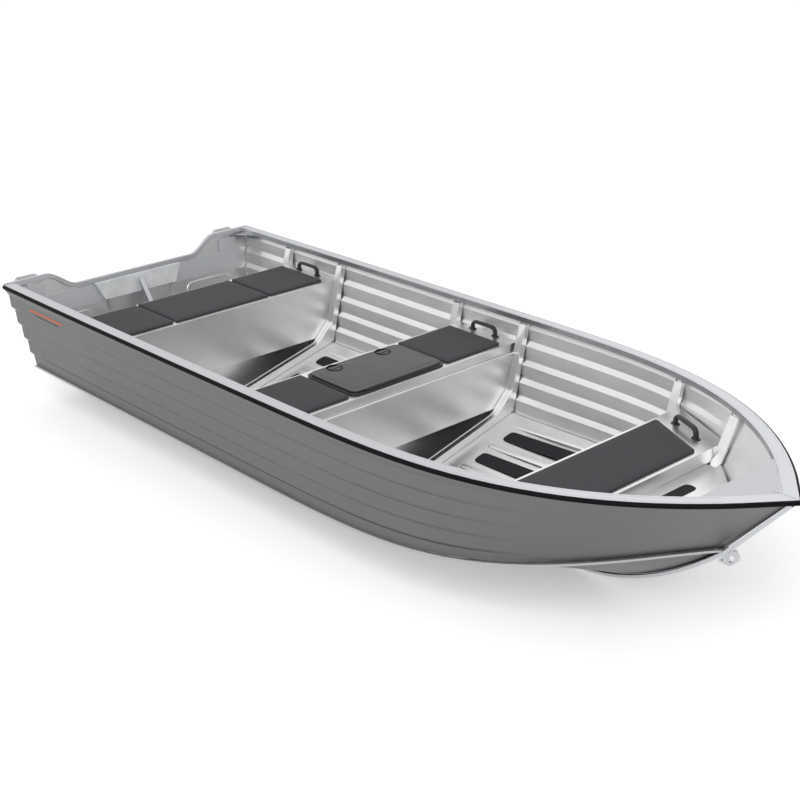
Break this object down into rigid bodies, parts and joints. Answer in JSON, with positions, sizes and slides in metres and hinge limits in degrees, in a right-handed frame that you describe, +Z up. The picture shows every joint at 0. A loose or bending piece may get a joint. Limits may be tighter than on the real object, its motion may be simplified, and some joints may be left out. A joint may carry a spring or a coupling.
{
  "type": "open aluminum boat",
  "caption": "Open pressed-sheet aluminium dinghy with lapped sides, bench seats with pads, a hinged stowage hatch, bow step deck, grab handles and a transom pad for an outboard.",
  "frame": {"origin": "point on the design waterline, amidships, in the centre plane", "axes": "+X to the bow, +Y to port, +Z up"},
  "size_m": [4.4923, 1.7146, 0.7111],
  "materials": {
    "hull_metal": "satin mill",
    "cast_handle": "matt grey, ribbed",
    "rubber": "matt black extrusion",
    "pad_plastic": "satin grey board",
    "grab_plastic": "matt black",
    "hatch_plastic": "dark grey, slightly glossy",
    "latch_plastic": "dark grey",
    "cushion": "charcoal closed-cell foam, fine texture",
    "grit": "black anti-slip grit"
  },
  "bodies": {
    "hull": {"bottom_plate": "hull_metal", "bow_bench": "hull_metal", "bow_deck": "hull_metal", "bow_eye": "hull_metal", "bow_handle_port": "grab_plastic", "bow_handle_starboard": "grab_plastic", "bow_pad": "cushion", "bow_strip": "grit", "breasthook": "hull_metal", "carry_handle_port": "cast_handle", "carry_handle_starboard": "cast_handle", "chine_port": "hull_metal", "chine_starboard": "hull_metal", "corner_gusset_port": "hull_metal", "corner_gusset_starboard": "hull_metal", "frame_1": "hull_metal", "frame_2": "hull_metal", "frame_3": "hull_metal", "frame_4": "hull_metal", "frame_5": "hull_metal", "frame_6": "hull_metal", "gunwale_port": "hull_metal", "gunwale_starboard": "hull_metal", "hatch_frame": "hatch_plastic", "hatch_hinge": "hull_metal", "keel_bar": "hull_metal", "middle_bench": "hull_metal", "middle_bench_front": "hull_metal", "middle_handle_port": "grab_plastic", "middle_handle_starboard": "grab_plastic", "middle_pad_port": "cushion", "middle_pad_starboard": "cushion", "motor_pad_inner": "pad_plastic", "motor_pad_outer": "pad_plastic", "rub_strake_port": "rubber", "rub_strake_starboard": "rubber", "side_plate_port": "hull_metal", "side_plate_starboard": "hull_metal", "stern_bench": "hull_metal", "stern_handle_port": "grab_plastic", "stern_handle_starboard": "grab_plastic", "stern_pad_centre": "cushion", "stern_pad_port": "cushion", "stern_pad_starboard": "cushion", "strip_aft_inner_port": "grit", "strip_aft_inner_starboard": "grit", "strip_aft_outer_port": "grit", "strip_aft_outer_starboard": "grit", "strip_fore_inner_port": "grit", "strip_fore_inner_starboard": "grit", "strip_fore_outer_port": "grit", "strip_fore_outer_starboard": "grit", "transom_band": "hull_metal", "transom_knee": "hull_metal", "transom_moulding": "hull_metal", "transom_plate": "hull_metal"},
    "lid": {"hatch_lid": "hatch_plastic", "hatch_latch_port": "latch_plastic", "hatch_latch_starboard": "latch_plastic"}
  },
  "joints": [
    {"name": "hatch_hinge_joint", "type": "hinge", "parent": "hull", "child": "lid", "pos_m": [0.0405, 0, 0.4238], "axis": [0, 1, 0], "range_deg": [0, 100]}
  ]
}
